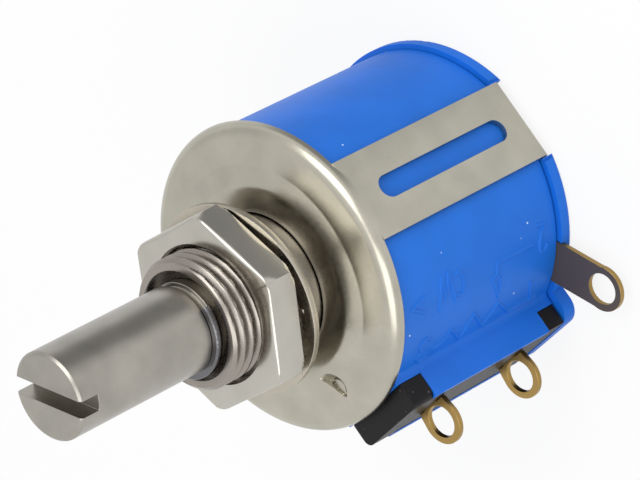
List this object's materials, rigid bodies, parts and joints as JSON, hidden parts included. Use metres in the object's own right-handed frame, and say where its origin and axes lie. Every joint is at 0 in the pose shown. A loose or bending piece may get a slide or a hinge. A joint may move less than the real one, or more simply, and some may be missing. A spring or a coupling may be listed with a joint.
{
  "type": "multi-turn rotary potentiometer",
  "caption": "Panel-mount multi-turn wirewound rotary potentiometer: slotted shaft, threaded bushing with nut and lock washer, strapped round housing, side terminal block and ring terminals.",
  "frame": {"origin": "on the shaft's axis, on the face of the front plate that seats against the panel", "axes": "+Z along the shaft towards its tip; the straps are at +X and -X; the terminal block is at -Y"},
  "size_m": [0.0226, 0.0272, 0.0397],
  "materials": {
    "shaft_steel": "turned, satin",
    "ring_steel": "dark, polished",
    "bushing_nickel": "satin nickel plate",
    "nut_nickel": "bright nickel plate",
    "washer_steel": "nickel plate",
    "plate_nickel": "satin nickel plate, drawn",
    "blue_plastic": "moulded, semi-gloss",
    "black_plastic": "filled phenolic",
    "terminal_brass": "stamped, gold colour",
    "resistance_wire": "fine wire wound on an insulated core",
    "contact_brass": "spring strip",
    "rotor_plastic": "moulded",
    "washer_plastic": "slippery plastic",
    "carriage_plastic": "moulded"
  },
  "bodies": {
    "frame": {"front_plate": "plate_nickel", "bushing": "bushing_nickel", "housing": "blue_plastic", "rear_cap": "blue_plastic", "terminal_block": "black_plastic", "terminal_1": "terminal_brass", "terminal_2": "terminal_brass", "terminal_3": "terminal_brass", "resistance_coil": "resistance_wire", "coil_lead_1": "contact_brass", "coil_lead_3": "contact_brass", "collector_brush": "contact_brass", "thrust_washer": "washer_plastic"},
    "shaft": {"shaft": "shaft_steel", "retaining_ring": "ring_steel", "rotor": "rotor_plastic", "collector_rod": "contact_brass", "collector_ring": "contact_brass"},
    "carriage": {"wiper_carriage": "carriage_plastic", "wiper_contact": "contact_brass"},
    "washer": {"lock_washer": "washer_steel"},
    "nut": {"mounting_nut": "nut_nickel"}
  },
  "joints": [
    {"name": "shaft_turn", "type": "hinge", "parent": "frame", "child": "shaft", "pos_m": [0, 0, 0], "axis": [0, 0, 1], "range_deg": [-1800, 1800]},
    {"name": "wiper_travel", "type": "slide", "parent": "shaft", "child": "carriage", "axis": [0, 0, 1], "range_m": [-0.00601, 0.00601]},
    {"name": "washer_travel", "type": "slide", "parent": "frame", "child": "washer", "axis": [0, 0, 1], "range_m": [-0.00079, 0.00198]},
    {"name": "nut_turn", "type": "hinge", "parent": "washer", "child": "nut", "pos_m": [0, 0, 0], "axis": [0, 0, 1], "range_deg": [-360, 900]}
  ],
  "couplings": [
    {"joint": "wiper_travel", "follows": "shaft_turn", "m_per_rad": -0.00019099},
    {"joint": "nut_turn", "follows": "washer_travel", "rad_per_m": 7915.8}
  ]
}
